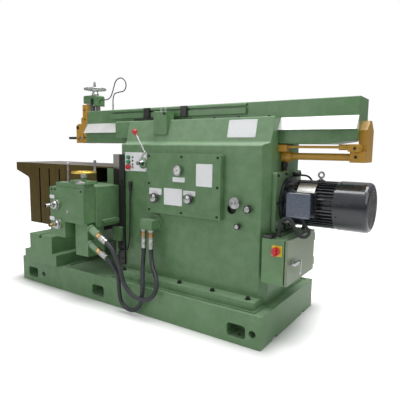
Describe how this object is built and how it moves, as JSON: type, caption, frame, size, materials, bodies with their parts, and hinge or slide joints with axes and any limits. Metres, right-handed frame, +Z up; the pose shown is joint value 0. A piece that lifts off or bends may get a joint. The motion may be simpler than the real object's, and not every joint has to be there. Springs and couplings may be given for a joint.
{
  "type": "hydraulic shaping machine",
  "caption": "Hydraulic shaping machine: a long ram in dovetail ways on a box column drives a swivelling tool head over a T-slotted table on a cross rail, with a motor behind.",
  "frame": {"origin": "centre of the bed's underside, on the floor", "axes": "+X along the ram to the motor end, so -X is the tool end; -Y the operator's side; +Z up"},
  "size_m": [3.257, 1.412, 1.799],
  "materials": {
    "machine_green": "semi-gloss enamel on cast iron",
    "shoulder_green": "semi-gloss enamel, lighter green",
    "scraped_iron": "machined and scraped ways",
    "table_iron": "machined cast iron darkened by oil",
    "bright_steel": "ground and polished rods, handles and fittings",
    "ochre_paint": "ochre enamel",
    "black_paint": "black enamel",
    "motor_black": "gloss black enamel",
    "box_grey": "sheet steel, grey green enamel",
    "hose_rubber": "smooth black hose",
    "knob_black": "moulded black phenolic",
    "signal_red": "moulded red plastic",
    "signal_green": "moulded green plastic",
    "label_plate": "satin plate, plain"
  },
  "bodies": {
    "frame": {"bed": "machine_green", "support_rail": "machine_green", "column": "machine_green", "column_ways": "scraped_iron", "way_covers": "black_paint", "side_cover": "machine_green", "pressure_gauge": "bright_steel", "motor_plate": "machine_green", "control_plate": "label_plate", "valve_block": "machine_green", "hose_manifold": "machine_green", "limit_switch": "bright_steel", "motor_frame": "motor_black", "motor_cowl": "motor_black", "terminal_box": "motor_black", "eye_bolt": "bright_steel", "electrical_box": "box_grey", "rod_glands": "ochre_paint", "table_hose_lower": "hose_rubber", "table_hose_upper": "hose_rubber", "motor_conduit": "hose_rubber", "rear_cable": "hose_rubber", "sensor_cable": "hose_rubber"},
    "ram": {"ram": "machine_green", "dog_rail": "machine_green", "trip_dogs": "black_paint", "ram_bracket": "ochre_paint", "ram_rods": "ochre_paint", "oil_pipe": "bright_steel", "oil_hose": "hose_rubber"},
    "tool_head": {"head_swivel": "scraped_iron", "head_bracket": "machine_green"},
    "tool_slide": {"tool_slide": "ochre_paint", "clapper_box": "ochre_paint"},
    "clapper": {"clapper_block": "ochre_paint", "tool_post": "black_paint"},
    "handwheel": {"handwheel": "bright_steel"},
    "cross_rail": {"cross_rail": "machine_green", "feed_gearbox": "machine_green", "hydraulic_block": "machine_green"},
    "table": {"saddle": "machine_green", "table": "table_iron", "table_foot": "table_iron"},
    "feed_wheel": {"feed_wheel": "bright_steel"},
    "feed_lever": {"feed_lever": "bright_steel"},
    "crank_upper": {"crank_shaft_upper": "bright_steel"},
    "crank_lower": {"crank_shaft_lower": "bright_steel"},
    "start_lever": {"start_lever": "bright_steel"},
    "trip_lever": {"trip_lever": "black_paint"},
    "start_button_upper": {"start_button_upper": "signal_green"},
    "start_button_lower": {"start_button_lower": "signal_green"},
    "stop_button": {"stop_button": "signal_red"},
    "relief_knob": {"relief_knob": "bright_steel"},
    "star_knob_rear": {"star_knob_rear": "knob_black"},
    "star_knob_low": {"star_knob_low": "knob_black"},
    "panel_knob_left": {"panel_knob_left": "knob_black"},
    "panel_knob_right": {"panel_knob_right": "knob_black"},
    "isolator_knob": {"isolator_knob": "signal_red"},
    "box_door": {"box_door": "box_grey"},
    "door_latch": {"door_latch": "bright_steel"}
  },
  "joints": [
    {"name": "ram_stroke", "type": "slide", "parent": "frame", "child": "ram", "axis": [1, 0, 0], "range_m": [-0.3, 0.43]},
    {"name": "head_tilt", "type": "hinge", "parent": "ram", "child": "tool_head", "pos_m": [-0.7, 0, 1.378], "axis": [1, 0, 0], "range_deg": [-60, 60], "deforming": ["oil_hose"]},
    {"name": "tool_feed", "type": "slide", "parent": "tool_head", "child": "tool_slide", "axis": [0, 0, -1], "range_m": [0, 0.16]},
    {"name": "clapper_swing", "type": "hinge", "parent": "tool_slide", "child": "clapper", "pos_m": [-0.858, 0, 1.378], "axis": [0, 1, 0], "range_deg": [0, 25]},
    {"name": "handwheel_spin", "type": "hinge", "parent": "tool_head", "child": "handwheel", "pos_m": [-0.703, 0, 1.718], "axis": [0, 0, 1], "continuous": true},
    {"name": "cross_rail_lift", "type": "slide", "parent": "frame", "child": "cross_rail", "axis": [0, 0, -1], "range_m": [-0.103, 0], "deforming": ["table_hose_lower", "table_hose_upper"]},
    {"name": "table_traverse", "type": "slide", "parent": "cross_rail", "child": "table", "axis": [0, 1, 0], "range_m": [-0.25, 0.4]},
    {"name": "feed_wheel_spin", "type": "hinge", "parent": "cross_rail", "child": "feed_wheel", "pos_m": [-0.17, -0.6, 1.022], "axis": [0, 0, 1], "continuous": true},
    {"name": "feed_lever_swing", "type": "hinge", "parent": "cross_rail", "child": "feed_lever", "pos_m": [-0.33, -0.612, 0.92], "axis": [1, 0, 0], "range_deg": [-18, 18]},
    {"name": "crank_upper_spin", "type": "hinge", "parent": "cross_rail", "child": "crank_upper", "pos_m": [-0.418, -0.665, 0.774], "axis": [0, 1, 0], "continuous": true},
    {"name": "crank_lower_spin", "type": "hinge", "parent": "cross_rail", "child": "crank_lower", "pos_m": [-0.4, -0.665, 0.627], "axis": [0, 1, 0], "continuous": true},
    {"name": "start_lever_swing", "type": "hinge", "parent": "frame", "child": "start_lever", "pos_m": [0.14, -0.33, 1.092], "axis": [0, 1, 0], "range_deg": [-20, 20]},
    {"name": "trip_lever_swing", "type": "hinge", "parent": "frame", "child": "trip_lever", "pos_m": [0.128, -0.168, 1.42], "axis": [0, 0, 1], "range_deg": [-8, 8]},
    {"name": "start_upper_press", "type": "slide", "parent": "frame", "child": "start_button_upper", "axis": [0, 1, 0], "range_m": [0, 0.005], "stiffness_N_per_m": 800, "springref_m": -0.002},
    {"name": "start_lower_press", "type": "slide", "parent": "frame", "child": "start_button_lower", "axis": [0, 1, 0], "range_m": [0, 0.005], "stiffness_N_per_m": 800, "springref_m": -0.002},
    {"name": "stop_press", "type": "slide", "parent": "frame", "child": "stop_button", "axis": [0, 1, 0], "range_m": [0, 0.005], "stiffness_N_per_m": 800, "springref_m": -0.002},
    {"name": "relief_knob_turn", "type": "hinge", "parent": "frame", "child": "relief_knob", "pos_m": [0.925, -0.316, 0.862], "axis": [0, 1, 0], "continuous": true},
    {"name": "star_rear_turn", "type": "hinge", "parent": "frame", "child": "star_knob_rear", "pos_m": [1.02, -0.316, 0.83], "axis": [0, 1, 0], "continuous": true},
    {"name": "star_low_turn", "type": "hinge", "parent": "frame", "child": "star_knob_low", "pos_m": [0.95, -0.316, 0.712], "axis": [0, 1, 0], "continuous": true},
    {"name": "panel_left_turn", "type": "hinge", "parent": "frame", "child": "panel_knob_left", "pos_m": [0.285, -0.35, 0.85], "axis": [0, 1, 0], "range_deg": [-150, 150]},
    {"name": "panel_right_turn", "type": "hinge", "parent": "frame", "child": "panel_knob_right", "pos_m": [0.586, -0.35, 0.862], "axis": [0, 1, 0], "range_deg": [-150, 150]},
    {"name": "isolator_turn", "type": "hinge", "parent": "frame", "child": "isolator_knob", "pos_m": [1.23, -0.35, 0.598], "axis": [0, 1, 0], "range_deg": [0, 90]},
    {"name": "door_swing", "type": "hinge", "parent": "frame", "child": "box_door", "pos_m": [1.293, 0.157, 0.52], "axis": [0, 0, 1], "range_deg": [0, 100]},
    {"name": "latch_turn", "type": "hinge", "parent": "box_door", "child": "door_latch", "pos_m": [1.31, -0.285, 0.518], "axis": [-1, 0, 0], "range_deg": [0, 90]}
  ]
}
